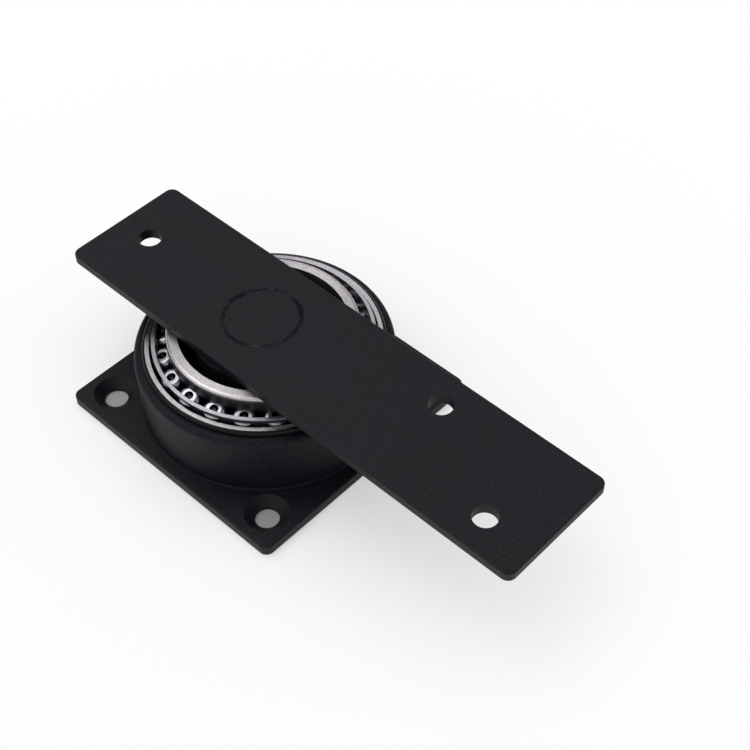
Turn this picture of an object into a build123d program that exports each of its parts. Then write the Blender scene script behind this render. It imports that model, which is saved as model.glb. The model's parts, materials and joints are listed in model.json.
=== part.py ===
from build123d import *
import os
from math import asin, atan, cos, degrees, pi, radians, sin, tan

# Floor pivot for a heavy door. A base plate carries a round housing with a tapered roller bearing,
# and a long plate under the door turns on the bearing's inner ring, centred by a short spindle.
# Millimetres. The turning axis is Z, the floor is at z = 0 and X runs along the door plate.

# Base plate
base_side = 100.0
base_thickness = 4.0
base_corner_radius = 3.0
base_hole_pitch = 78.0
base_hole_diameter = 8.5
countersink_diameter = 15.5
countersink_angle = 100.0

# Door plate
short_arm = 73.0
long_arm = 129.0
plate_width = 48.0
plate_thickness = 4.0
plate_corner_radius = 3.2
plate_hole_diameter = 8.6
short_arm_hole = 58.0
long_arm_inner_hole = 70.5
long_arm_outer_hole = 109.5
long_arm_hole_offset = 12.0
edge_break = 0.6

# Housing
housing_wall = 3.0
housing_edge_radius = 2.0
housing_foot_bead = 0.4
bearing_seat_height = 6.8
bearing_seat_width = 7.0
cup_stands_proud = 1.9

# Bearing: bore, outside and widths of its two rings
bearing_bore = 50.0
bearing_outside = 85.0
bearing_width = 26.0
cup_width = 19.5
cup_lip = 2.6
cup_race_angle = 15.6
cup_corner_radius = 1.2
cone_wall = 1.7
cone_bore_chamfer = 4.6
cone_rib_height = 2.3
cone_rib_corner = 1.3
cone_small_rib_height = 1.2

# Rollers and cage
roller_length = 17.5
roller_rise = 0.5
roller_least_gap = 1.6
roller_large_corner = 1.7
roller_small_corner = 0.7
roller_recess_diameter = 3.2
roller_recess_depth = 0.9
first_roller_angle = -3.5
cage_thickness = 1.35
cage_rise = 2.3
cage_bend_radius = 0.6
cage_rim_round = 0.12
cage_offset_share = 0.35

# Spindle
spigot_diameter = 27.0
weld_dip_width = 1.0
weld_dip_depth = 0.12
spindle_projection = 1.0
spindle_lead_chamfer = 1.5

# Clearances
seat_clearance = 0.02
roller_clearance = 0.1
pocket_clearance = 0.2
cage_clearance = 0.5

# Heights, from the floor up
seat_z = base_thickness + bearing_seat_height
cup_top_z = seat_z + cup_width
rim_z = cup_top_z - cup_stands_proud
plate_bottom_z = seat_z + bearing_width
plate_top_z = plate_bottom_z + plate_thickness

# Bearing geometry: both raceways and every roller axis meet at one apex on the turning axis
bore_radius = bearing_bore / 2
cup_radius = bearing_outside / 2
race_mouth_radius = cup_radius - cup_lip
apex_z = cup_top_z - race_mouth_radius / tan(radians(cup_race_angle))
cone_race_angle = degrees(atan((bore_radius + cone_wall) / (seat_z - apex_z)))
roller_taper = (cup_race_angle - cone_race_angle) / 2
pitch_angle = cup_race_angle - roller_taper

# Rollers: distances along a roller's axis are counted from the apex
large_end = (cup_top_z + roller_rise - apex_z) / cos(radians(pitch_angle))
small_end = large_end - roller_length
large_end_radius = large_end * tan(radians(roller_taper)) - roller_clearance
small_end_radius = small_end * tan(radians(roller_taper)) - roller_clearance
pitch_radius = large_end * sin(radians(pitch_angle))
roller_count = int(pi / asin((large_end_radius + roller_least_gap / 2) / pitch_radius))
roller_step = 360.0 / roller_count

# Cage wall: a cone that passes the rollers outside their axes
cage_angle = pitch_angle + degrees(atan(cage_offset_share * large_end_radius / large_end))
cage_top_z = cup_top_z + cage_rise


def beside_roller(along, across):
    """Radius and height of a point near a roller, along its axis and outward across it."""
    lean = radians(pitch_angle)
    radius = along * sin(lean) + across * cos(lean)
    height = apex_z + along * cos(lean) - across * sin(lean)
    return radius, height


def on_race(height, angle):
    """Point of a raceway or cage cone with the given half angle, at a height."""
    return (height - apex_z) * tan(radians(angle)), height


def turned(profile, rounds=()):
    """Solid turned about Z from (radius, height) points; rounds holds (point, corner radius)."""
    face = make_face(Polyline(*profile, close=True))
    for corner, radius in rounds:
        vertex = face.vertices().sort_by_distance(Vector(*corner))[0]
        face = fillet(vertex, radius)
    return revolve(Plane.XZ * face, Axis.Z)


def flat_plate(length, width, thickness, corner_radius):
    """Rounded plate on the XY plane with its long edges broken."""
    plate = extrude(RectangleRounded(length, width, corner_radius), thickness)
    rims = plate.faces().sort_by(Axis.Z)
    outlines = rims[0].edges() + rims[-1].edges()
    return fillet(outlines, edge_break)


def make_base_plate():
    plate = flat_plate(base_side, base_side, base_thickness, base_corner_radius)
    hole_radius = base_hole_diameter / 2
    sink_radius = countersink_diameter / 2
    sink_depth = (sink_radius - hole_radius) / tan(radians(countersink_angle / 2))
    corners = GridLocations(base_hole_pitch, base_hole_pitch, 2, 2)
    lowest = (Align.CENTER, Align.CENTER, Align.MIN)
    plate -= corners * Cylinder(hole_radius, base_thickness, align=lowest)
    sink = Cone(hole_radius, sink_radius, sink_depth, align=lowest)
    return plate - Pos(0, 0, base_thickness - sink_depth) * corners * sink


def make_bearing_housing():
    outer = cup_radius + housing_wall
    bore = cup_radius + seat_clearance
    seat_inner = cup_radius - bearing_seat_width
    rim_corner = (outer, rim_z)
    profile = [
        (seat_inner, base_thickness),
        (outer + housing_foot_bead, base_thickness),
        (outer, base_thickness + housing_foot_bead),
        rim_corner,
        (bore, rim_z),
        (bore, seat_z),
        (seat_inner, seat_z),
    ]
    return turned(profile, [(rim_corner, housing_edge_radius)])


def make_bearing_cup():
    top_corner = (cup_radius, cup_top_z)
    bottom_corner = (cup_radius, seat_z)
    profile = [
        bottom_corner,
        top_corner,
        (race_mouth_radius, cup_top_z),
        on_race(seat_z, cup_race_angle),
    ]
    return turned(profile, [(top_corner, cup_corner_radius), (bottom_corner, cup_corner_radius)])


def make_bearing_cone():
    rib_along = large_end + roller_clearance
    race_large = beside_roller(rib_along, -rib_along * tan(radians(roller_taper)))
    rib_radius = race_large[0] + cone_rib_height
    rib_across = (rib_radius - rib_along * sin(radians(pitch_angle))) / cos(radians(pitch_angle))
    small_along = small_end - roller_clearance
    small_across = -small_along * tan(radians(roller_taper))
    small_rib = beside_roller(small_along, small_across + cone_small_rib_height)
    back_outer = (rib_radius, plate_bottom_z)
    profile = [
        (bore_radius, seat_z),
        (small_rib[0], seat_z),
        small_rib,
        beside_roller(small_along, small_across),
        race_large,
        beside_roller(rib_along, rib_across),
        back_outer,
        (bore_radius + cone_bore_chamfer, plate_bottom_z),
        (bore_radius, plate_bottom_z - cone_bore_chamfer),
    ]
    return turned(profile, [(back_outer, cone_rib_corner)])


def at_roller(index):
    """Place of a roller built along Z with the apex at the origin."""
    turn = first_roller_angle + index * roller_step
    return Rot(0, 0, turn) * Pos(0, 0, apex_z) * Rot(0, pitch_angle, 0)


def make_roller():
    recess_radius = roller_recess_diameter / 2
    recess_floor = large_end - roller_recess_depth
    large_corner = (large_end_radius, large_end)
    profile = [
        (0, small_end),
        (small_end_radius - roller_small_corner, small_end),
        (small_end_radius, small_end + roller_small_corner),
        large_corner,
        (recess_radius, large_end),
        (recess_radius - roller_recess_depth, recess_floor),
        (0, recess_floor),
    ]
    return turned(profile, [(large_corner, roller_large_corner)])


def make_roller_pocket():
    """Room that one roller needs in the cage."""
    low = small_end - pocket_clearance
    high = large_end + pocket_clearance
    profile = [
        (0, low),
        (small_end_radius + pocket_clearance, low),
        (large_end_radius + pocket_clearance, high),
        (0, high),
    ]
    return turned(profile)


def make_bearing_cage():
    wall = cage_thickness / cos(radians(cage_angle))
    pocket_low = beside_roller(small_end - pocket_clearance, small_end_radius + pocket_clearance)
    flange_top = pocket_low[1] - pocket_clearance
    flange_bottom = flange_top - cage_thickness
    small_rib_across = cone_small_rib_height - small_end * tan(radians(roller_taper))
    flange_radius = beside_roller(small_end, small_rib_across)[0] + cage_clearance
    top_inner = on_race(cage_top_z, cage_angle)
    top_outer = (top_inner[0] + wall, cage_top_z)
    bend_inner = on_race(flange_top, cage_angle)
    bend_outer = on_race(flange_bottom, cage_angle)
    bend_outer = (bend_outer[0] + wall, flange_bottom)
    profile = [
        top_inner,
        top_outer,
        bend_outer,
        (flange_radius, flange_bottom),
        (flange_radius, flange_top),
        bend_inner,
    ]
    bends = [(bend_outer, cage_bend_radius + cage_thickness), (bend_inner, cage_bend_radius)]
    rim = [(top_inner, cage_rim_round), (top_outer, cage_rim_round)]
    pocket = make_roller_pocket()
    return turned(profile, bends + rim) - [at_roller(index) * pocket for index in range(roller_count)]


def make_spindle():
    journal = bore_radius - seat_clearance
    spigot = spigot_diameter / 2
    bottom_z = seat_z - spindle_projection
    profile = [
        (0, bottom_z),
        (journal - spindle_lead_chamfer, bottom_z),
        (journal, bottom_z + spindle_lead_chamfer),
        (journal, plate_bottom_z),
        (spigot, plate_bottom_z),
        (spigot, plate_top_z - weld_dip_depth),
        (spigot - weld_dip_width, plate_top_z),
        (0, plate_top_z),
    ]
    return turned(profile)


def make_door_plate():
    length = short_arm + long_arm
    blank = flat_plate(length, plate_width, plate_thickness, plate_corner_radius)
    plate = Pos((long_arm - short_arm) / 2, 0, plate_bottom_z) * blank
    screw_holes = Locations(
        (-short_arm_hole, 0),
        (long_arm_inner_hole, long_arm_hole_offset),
        (long_arm_outer_hole, -long_arm_hole_offset),
    )
    lowest = (Align.CENTER, Align.CENTER, Align.MIN)
    at_plate = Pos(0, 0, plate_bottom_z)
    plate -= at_plate * screw_holes * Cylinder(plate_hole_diameter / 2, plate_thickness, align=lowest)
    spigot_hole = spigot_diameter / 2 + seat_clearance
    plate -= at_plate * Cylinder(spigot_hole, plate_thickness, align=lowest)
    dip = Cone(spigot_hole, spigot_hole + weld_dip_width, weld_dip_depth, align=lowest)
    return plate - Pos(0, 0, plate_top_z - weld_dip_depth) * dip


def make_pieces():
    """Every piece of the pivot, by node name."""
    pieces = {
        "base_plate": make_base_plate(),
        "bearing_housing": make_bearing_housing(),
        "bearing_cup": make_bearing_cup(),
        "bearing_cone": make_bearing_cone(),
        "bearing_cage": make_bearing_cage(),
        "spindle": make_spindle(),
        "door_plate": make_door_plate(),
    }
    roller = make_roller()
    for index in range(roller_count):
        pieces[f"roller_{index + 1:02d}"] = at_roller(index) * roller
    return pieces


os.makedirs("parts", exist_ok=True)
for node, piece in make_pieces().items():
    export_step(piece, f"parts/{node}.step")
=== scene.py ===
import json
from math import cos, radians, sin

import bpy
from mathutils import Matrix, Vector


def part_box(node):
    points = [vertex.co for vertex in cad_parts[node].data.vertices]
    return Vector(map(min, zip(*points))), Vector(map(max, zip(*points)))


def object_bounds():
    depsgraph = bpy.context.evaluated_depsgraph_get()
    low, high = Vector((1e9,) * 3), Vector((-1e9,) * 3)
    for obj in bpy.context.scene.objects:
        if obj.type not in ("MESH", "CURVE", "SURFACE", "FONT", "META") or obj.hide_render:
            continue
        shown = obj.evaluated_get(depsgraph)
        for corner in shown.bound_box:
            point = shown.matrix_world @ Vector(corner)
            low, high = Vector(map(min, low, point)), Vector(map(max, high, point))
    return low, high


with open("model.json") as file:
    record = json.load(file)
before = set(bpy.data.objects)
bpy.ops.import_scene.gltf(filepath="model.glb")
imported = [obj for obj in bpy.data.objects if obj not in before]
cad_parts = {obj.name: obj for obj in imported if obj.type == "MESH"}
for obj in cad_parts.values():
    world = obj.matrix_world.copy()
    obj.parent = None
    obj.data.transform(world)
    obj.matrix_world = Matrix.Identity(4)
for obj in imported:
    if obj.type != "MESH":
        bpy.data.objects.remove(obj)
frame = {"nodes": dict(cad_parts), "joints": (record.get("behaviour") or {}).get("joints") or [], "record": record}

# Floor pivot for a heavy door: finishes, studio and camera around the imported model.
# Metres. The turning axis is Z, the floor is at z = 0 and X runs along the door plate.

cad_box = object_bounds()

# Camera, with angles in degrees
lens_mm = 69.627
sensor_mm = 36.0
nearest_seen = 0.01
camera_target = Vector((0.0335, 0.02014, 0.02))
camera_distance = 0.50416
camera_azimuth = -46.388
camera_elevation = 48.733
camera_roll = -0.7

# Studio: a white floor and horizon, a dim ceiling, soft boxes that the gloss mirrors, and a lamp for the
# even light. The floor glows more the further it is from the turning axis, so that it ends in plain white,
# and it is painted grey inside the base plate's outline as painted shade. Angles in degrees.
floor_size = 30.0
floor_white = 0.95
floor_shaded = 0.40
base_corner = 0.003
floor_glow_strength = 1.0
floor_glow_near = 0.48
floor_glow_reach = (0.06, 0.22)
horizon_strength = 1.0
ceiling_strength = 0.12
horizon_top = 0.05
ceiling_start = 0.25
soft_boxes = [
    {"azimuth": 148.0, "elevation": 50.0, "full_within": 16.0, "none_beyond": 30.0, "strength": 0.62},
    {"azimuth": -176.0, "elevation": 62.0, "full_within": 6.0, "none_beyond": 16.0, "strength": 2.20},
    {"azimuth": 112.0, "elevation": 60.0, "full_within": 8.0, "none_beyond": 24.0, "strength": 0.50},
    {"azimuth": -125.0, "elevation": 50.0, "full_within": 15.0, "none_beyond": 45.0, "strength": 1.00},
    {"azimuth": 45.0, "elevation": 38.0, "full_within": 15.0, "none_beyond": 42.0, "strength": 0.60},
    {"azimuth": -45.0, "elevation": 28.0, "full_within": 15.0, "none_beyond": 42.0, "strength": 0.60},
]
lamp_azimuth = 150.0
lamp_elevation = 66.0
lamp_distance = 1.5
lamp_size = 2.0
lamp_watts = 10.0

# Patterns: scales are features per metre, depths are metres, and spans are the part of a value that is used
noise_detail = 3.0
noise_roughness = 0.6
noise_span = (0.35, 0.65)
whole_span = (0.0, 1.0)
cloud_scale = 30.0
peel_scale = 1200.0
peel_depth = 0.00004
grain_scale = 1500.0
grain_depth = 0.00006
mottle_scale = 420.0
speckle_scale = 2200.0
line_scale = 3000.0
ready_scale = 1.0
line_turns = 12.0
steel_depth = 0.000006
steel_stretch = 0.85
quarter_turn = 0.25

# Black coat, with a thin uneven ring where the spindle's end is welded flush into the door plate
coat_dark = (0.0008, 0.0007, 0.0030)
coat_light = (0.0056, 0.0052, 0.0098)
coat_roughness = (0.46, 0.60)
coat_gloss = 0.26
housing_gloss = 0.17
coat_grain_share = 0.65
# Light specks that are painted glints of the sandy coat, and the span of noise that makes them
coat_painted_glint = (0.014, 0.014, 0.018)
coat_painted_glint_span = (0.50, 0.72)
weld_radius = 0.0135
weld_half_width = 0.0004
weld_fade = 0.0006
weld_floor = 0.0405
weld_dark_share = 0.75
weld_patch_scale = 110.0
weld_least = 0.35
weld_wobble = 0.0004
weld_wobble_scale = 220.0
weld_fleck = (0.045, 0.045, 0.050)
weld_fleck_scale = 130.0
weld_fleck_span = (0.54, 0.68)

# Bearing steel: the flat faces of both rings are ground, their corners and bore keep dark scale, and painted shade
# darkens their raceways and ribs
ground_dark = (0.40, 0.38, 0.39)
ground_light = (0.72, 0.68, 0.70)
ground_roughness = (0.22, 0.38)
ground_line_share = 0.3
ground_from = 0.0296
ground_to = 0.04135
ground_facing = (0.35, 0.60)
# Painted shade for the raceways and ribs
race_painted_shade = (0.11, 0.105, 0.11)
# Dark scale on the rings, also used as painted shade in the rollers' recesses
scale_and_shade_colour = (0.018, 0.017, 0.018)

# Cage and rollers: bright steel, with painted shade on the cage's walls, and painted shade and dark scale in the
# recess of each roller's large end
pressed_dark = (0.39, 0.37, 0.42)
pressed_light = (0.63, 0.61, 0.67)
# Painted shade for the cage's walls
pressed_wall_shade = (0.17, 0.165, 0.18)
pressed_roughness = (0.26, 0.40)
pressed_line_share = 0.5
roller_dark = (0.31, 0.29, 0.33)
roller_light = (0.46, 0.44, 0.49)
roller_roughness = (0.16, 0.28)
roller_line_share = 0.6
roller_recess = 0.0016

# The turning axis, and plain white
upright = (0.0, 0.0, 1.0)
axis_foot = (0.0, 0.0, 0.0)
opaque = 1.0
sky_white = (1.0, 1.0, 1.0, opaque)

# Places of the colour sockets on a mix node, whose names repeat
mix_first = 6
mix_second = 7
mix_result = 2


class Nodes:
    """Node tree of one surface, with the few calls that the finishes need."""

    def __init__(self, tree):
        self.tree = tree
        tree.nodes.clear()

    def add(self, kind, inputs=None, **settings):
        """New node with its settings, and with each input either linked or set to a constant."""
        node = self.tree.nodes.new(kind)
        for name, value in settings.items():
            setattr(node, name, value)
        for name, value in (inputs or {}).items():
            socket = node.inputs[name]
            if isinstance(value, bpy.types.NodeSocket):
                self.tree.links.new(value, socket)
            else:
                socket.default_value = value
        return node

    def math(self, operation, first, second=0.0):
        return self.add("ShaderNodeMath", {0: first, 1: second}, operation=operation).outputs[0]

    def vector(self, operation, first, second=(0.0, 0.0, 0.0)):
        node = self.add("ShaderNodeVectorMath", {0: first, 1: second}, operation=operation)
        return node.outputs["Value"] if operation in ("LENGTH", "DOT_PRODUCT") else node.outputs["Vector"]

    def stretched(self, vector, factor):
        node = self.add("ShaderNodeVectorMath", {0: vector, "Scale": factor}, operation="SCALE")
        return node.outputs["Vector"]

    def place(self):
        return self.add("ShaderNodeTexCoord").outputs["Object"]

    def facing(self):
        return self.add("ShaderNodeNewGeometry").outputs["Normal"]

    def own(self, name):
        """Vector that each piece carries under a name."""
        node = self.add("ShaderNodeAttribute", attribute_type="OBJECT", attribute_name=name)
        return node.outputs["Vector"]

    def noise(self, place, scale):
        settings = {"Vector": place, "Scale": scale, "Detail": noise_detail, "Roughness": noise_roughness}
        return self.add("ShaderNodeTexNoise", settings).outputs["Fac"]

    def ranged(self, value, low=0.0, high=1.0, span=noise_span, way="LINEAR"):
        """Low to high as the value runs over the span."""
        settings = {"Value": value, "From Min": span[0], "From Max": span[1], "To Min": low, "To Max": high}
        return self.add("ShaderNodeMapRange", settings, interpolation_type=way).outputs["Result"]

    def blended(self, first, second, share):
        """First and second added up, with the given share of the second."""
        kept = self.math("MULTIPLY", first, 1.0 - share)
        return self.math("ADD", kept, self.math("MULTIPLY", second, share))

    def colours(self, share, first, second):
        node = self.add("ShaderNodeMix", data_type="RGBA")
        self.tree.links.new(share, node.inputs["Factor"])
        for socket, value in ((node.inputs[mix_first], first), (node.inputs[mix_second], second)):
            if isinstance(value, bpy.types.NodeSocket):
                self.tree.links.new(value, socket)
            else:
                socket.default_value = (*value, opaque)
        return node.outputs[mix_result]

    def bump(self, height, depth, under=None):
        inputs = {"Height": height, "Distance": depth}
        if under is not None:
            inputs["Normal"] = under
        return self.add("ShaderNodeBump", inputs).outputs["Normal"]

    def shown(self, shader):
        self.add("ShaderNodeOutputMaterial", {"Surface": shader.outputs[0]})


def new_surface(name):
    material = bpy.data.materials.new(name)
    material.use_nodes = True
    return material, Nodes(material.node_tree)


def round_axis(nodes, place, point, axis):
    """Distance of each surface point from an axis, and a texture place that runs in circles round it."""
    offset = nodes.vector("SUBTRACT", place, point)
    across = nodes.vector("CROSS_PRODUCT", offset, axis)
    away = nodes.vector("LENGTH", across)
    along = nodes.vector("DOT_PRODUCT", offset, axis)
    turn = nodes.stretched(nodes.vector("NORMALIZE", across), line_turns)
    rings = nodes.stretched(axis, nodes.math("MULTIPLY", nodes.math("ADD", away, along), line_scale))
    return away, nodes.vector("ADD", turn, rings)


def weld_ring(nodes, place):
    """Shares of a darker metallic tone and of light flecks, in a broken ring round the spindle's flush end."""
    away, _ = round_axis(nodes, place, axis_foot, upright)
    height = nodes.vector("DOT_PRODUCT", place, upright)
    wobble = nodes.ranged(nodes.noise(place, weld_wobble_scale), -weld_wobble, weld_wobble)
    distance = nodes.math("ABSOLUTE", nodes.math("SUBTRACT", nodes.math("ADD", away, wobble), weld_radius))
    ring = nodes.ranged(distance, weld_dark_share, 0.0, (weld_half_width, weld_half_width + weld_fade))
    ring = nodes.math("MULTIPLY", ring, nodes.math("GREATER_THAN", height, weld_floor))
    patches = nodes.ranged(nodes.noise(place, weld_patch_scale), low=weld_least)
    crumbs = nodes.ranged(nodes.noise(place, peel_scale))
    broken = nodes.math("MULTIPLY", patches, nodes.math("ADD", crumbs, patches))
    flecks = nodes.ranged(nodes.noise(place, weld_fleck_scale), span=weld_fleck_span)
    return nodes.math("MULTIPLY", ring, broken), nodes.math("MULTIPLY", ring, flecks)


def black_coat(name, gloss=coat_gloss, welded=False):
    """Matt black powder coat: orange peel, fine grain, light specks that are painted glints, and faint clouds."""
    material, nodes = new_surface(name)
    place = nodes.place()
    clouds = nodes.ranged(nodes.noise(place, cloud_scale))
    grain = nodes.noise(place, grain_scale)
    peel = nodes.bump(nodes.noise(place, peel_scale), peel_depth)
    tone = nodes.blended(clouds, nodes.ranged(grain), coat_grain_share)
    # Painted glints: light specks in the coat's colour
    painted_glint_specks = nodes.ranged(nodes.noise(place, peel_scale), span=coat_painted_glint_span)
    colour = nodes.colours(painted_glint_specks, nodes.colours(tone, coat_dark, coat_light), coat_painted_glint)
    weld_dark = 0.0
    # The ring round the spindle's flush end is darker, through a dark metallic tone, and has light flecks
    if welded:
        weld_dark, flecks = weld_ring(nodes, place)
        colour = nodes.colours(flecks, colour, weld_fleck)
    shader = nodes.add("ShaderNodeBsdfPrincipled", {
        "Base Color": colour,
        "Metallic": weld_dark,
        "Roughness": nodes.ranged(tone, *coat_roughness, span=whole_span),
        "Specular IOR Level": gloss,
        "Normal": nodes.bump(grain, grain_depth, peel),
    })
    nodes.shown(shader)
    return material


def bare_steel(name, dark, light, roughness, line_share, point=None, axis=None, darkened=None):
    """Bright steel with speckle and fine lines round an axis, by default each piece's own."""
    material, nodes = new_surface(name)
    place = nodes.place()
    if point is None:
        point = nodes.own("spin_place")
        axis = nodes.own("spin_axis")
    away, rings = round_axis(nodes, place, point, axis)
    speckle = nodes.blended(nodes.noise(place, speckle_scale), nodes.noise(place, mottle_scale), line_share)
    marks = nodes.blended(speckle, nodes.noise(rings, ready_scale), line_share)
    colour = nodes.colours(nodes.ranged(marks), dark, light)
    if darkened:
        colour = darkened(nodes, colour, away)
    shader = nodes.add("ShaderNodeBsdfPrincipled", {
        "Base Color": colour,
        "Metallic": 1.0,
        "Anisotropic": steel_stretch,
        "Anisotropic Rotation": quarter_turn,
        "Roughness": nodes.ranged(marks, *roughness),
        "Normal": nodes.bump(marks, steel_depth),
    })
    nodes.shown(shader)
    return material


def walls_painted_shade(nodes, colour, wall_colour):
    """Painted shade: the colour on faces that look up, and the wall's shade colour on the others."""
    upward = nodes.vector("DOT_PRODUCT", nodes.facing(), upright)
    return nodes.colours(nodes.ranged(upward, span=ground_facing), wall_colour, colour)


def ring_darkened(nodes, colour, away):
    """Painted shade on the raceways and ribs, and dark scale in the bore and on the outer corners."""
    colour = walls_painted_shade(nodes, colour, race_painted_shade)
    colour = nodes.colours(nodes.math("LESS_THAN", away, ground_from), colour, scale_and_shade_colour)
    return nodes.colours(nodes.math("GREATER_THAN", away, ground_to), colour, scale_and_shade_colour)


def cage_painted_shade(nodes, colour, away):
    """Bright rim, and painted shade on the walls."""
    return walls_painted_shade(nodes, colour, pressed_wall_shade)


def roller_darkened(nodes, colour, away):
    """Painted shade and dark scale in the recess in the middle of the roller's large end."""
    return nodes.colours(nodes.math("LESS_THAN", away, roller_recess), colour, scale_and_shade_colour)


def dress_nodes():
    """Gives each piece its finish, and each roller the axis that its lines run round."""
    finishes = {
        "black_coat_base": black_coat("base_coat"),
        "black_coat_housing": black_coat("housing_coat", housing_gloss),
        "black_coat_spindle": black_coat("spindle_coat", welded=True),
        "black_coat_plate": black_coat("plate_coat", welded=True),
        "ground_steel": bare_steel("ring_steel", ground_dark, ground_light, ground_roughness,
                                   ground_line_share, axis_foot, upright, ring_darkened),
        "pressed_steel": bare_steel("cage_steel", pressed_dark, pressed_light, pressed_roughness,
                                    pressed_line_share, axis_foot, upright, cage_painted_shade),
        "polished_steel": bare_steel("roller_steel", roller_dark, roller_light, roller_roughness,
                                     roller_line_share, darkened=roller_darkened),
    }
    for subpart in frame["record"]["subparts"]:
        node = frame["nodes"][subpart["node"]]
        node.material_slots[0].material = finishes[subpart["material_slot"]]
    for joint in frame["joints"]:
        if joint["child"].startswith("roller"):
            roller = frame["nodes"][joint["child"]]
            roller["spin_place"] = joint["pos_m"]
            roller["spin_axis"] = joint["axis"]


def from_angles(azimuth, elevation):
    """Unit vector towards an azimuth from +X and an elevation above the floor, in degrees."""
    turn = radians(azimuth)
    rise = radians(elevation)
    return Vector((cos(rise) * cos(turn), cos(rise) * sin(turn), sin(rise)))


def make_floor():
    """White floor that keeps the shadow, with a glow that casts no light on matt surfaces, and painted shade, a
    grey colour, under the base plate.
    """
    half = floor_size / 2
    low = cad_box[0].z
    mesh = bpy.data.meshes.new("floor")
    corners = [(-half, -half, low), (half, -half, low), (half, half, low), (-half, half, low)]
    mesh.from_pydata(corners, [], [(0, 1, 2, 3)])
    floor = bpy.data.objects.new("floor", mesh)
    bpy.context.scene.collection.objects.link(floor)
    material, nodes = new_surface("floor_white")
    glow = nodes.add("ShaderNodeEmission", {"Strength": floor_glow_strength})
    ray = nodes.add("ShaderNodeLightPath").outputs
    seen = nodes.math("MAXIMUM", ray["Is Camera Ray"], ray["Is Glossy Ray"])
    seen = nodes.math("MAXIMUM", seen, ray["Is Transmission Ray"])
    place = nodes.place()
    corner_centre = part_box("base_plate")[1] - Vector((base_corner, base_corner, 0.0))
    apart = nodes.vector("SUBTRACT", nodes.vector("ABSOLUTE", place), corner_centre)
    beyond = nodes.vector("LENGTH", nodes.vector("MAXIMUM", apart, axis_foot))
    uncovered = nodes.math("GREATER_THAN", beyond, base_corner)
    glow_share = nodes.ranged(nodes.vector("LENGTH", place), low=floor_glow_near, span=floor_glow_reach)
    share = nodes.math("MULTIPLY", nodes.math("MULTIPLY", seen, uncovered), glow_share)
    # Painted shade: the floor's colour is grey inside the base plate's outline
    matt = nodes.add("ShaderNodeBsdfDiffuse", {
        "Color": nodes.ranged(uncovered, floor_shaded, floor_white, whole_span),
    })
    nodes.shown(nodes.add("ShaderNodeMixShader", {"Fac": share, 1: matt.outputs[0], 2: glow.outputs[0]}))
    mesh.materials.append(material)


def make_world():
    """Sky that is bright at the horizon and dim above, with the soft boxes added."""
    world = bpy.data.worlds.new("studio")
    world.use_nodes = True
    bpy.context.scene.world = world
    nodes = Nodes(world.node_tree)
    way = nodes.add("ShaderNodeTexCoord").outputs["Generated"]
    height = nodes.vector("DOT_PRODUCT", way, upright)
    strength = nodes.ranged(height, horizon_strength, ceiling_strength, (horizon_top, ceiling_start))
    for box in soft_boxes:
        closeness = nodes.vector("DOT_PRODUCT", way, from_angles(box["azimuth"], box["elevation"]))
        reach = (cos(radians(box["none_beyond"])), cos(radians(box["full_within"])))
        light = nodes.ranged(closeness, 0.0, box["strength"], reach, "SMOOTHSTEP")
        strength = nodes.math("ADD", strength, light)
    sky = nodes.add("ShaderNodeBackground", {"Color": sky_white, "Strength": strength})
    nodes.add("ShaderNodeOutputWorld", {"Surface": sky.outputs[0]})


def make_lamp():
    """Large lamp for the matt surfaces. Gloss shows the soft boxes, so the lamp stays out of it."""
    light = bpy.data.lights.new("lamp", "AREA")
    light.size = lamp_size
    light.energy = lamp_watts
    lamp = bpy.data.objects.new("lamp", light)
    way = from_angles(lamp_azimuth, lamp_elevation)
    lamp.location = camera_target + way * lamp_distance
    lamp.rotation_euler = way.to_track_quat("Z", "Y").to_euler()
    lamp.visible_glossy = False
    bpy.context.scene.collection.objects.link(lamp)


def make_camera():
    back = from_angles(camera_azimuth, camera_elevation)
    data = bpy.data.cameras.new("camera")
    data.lens = lens_mm
    data.sensor_width = sensor_mm
    data.clip_start = nearest_seen
    camera = bpy.data.objects.new("camera", data)
    facing = back.to_track_quat("Z", "Y").to_matrix().to_4x4()
    roll = Matrix.Rotation(radians(camera_roll), 4, "Z")
    camera.matrix_world = Matrix.Translation(camera_target + back * camera_distance) @ facing @ roll
    bpy.context.scene.collection.objects.link(camera)
    bpy.context.scene.camera = camera


dress_nodes()
make_floor()
make_world()
make_lamp()
make_camera()
bpy.context.scene.view_settings.view_transform = "Standard"
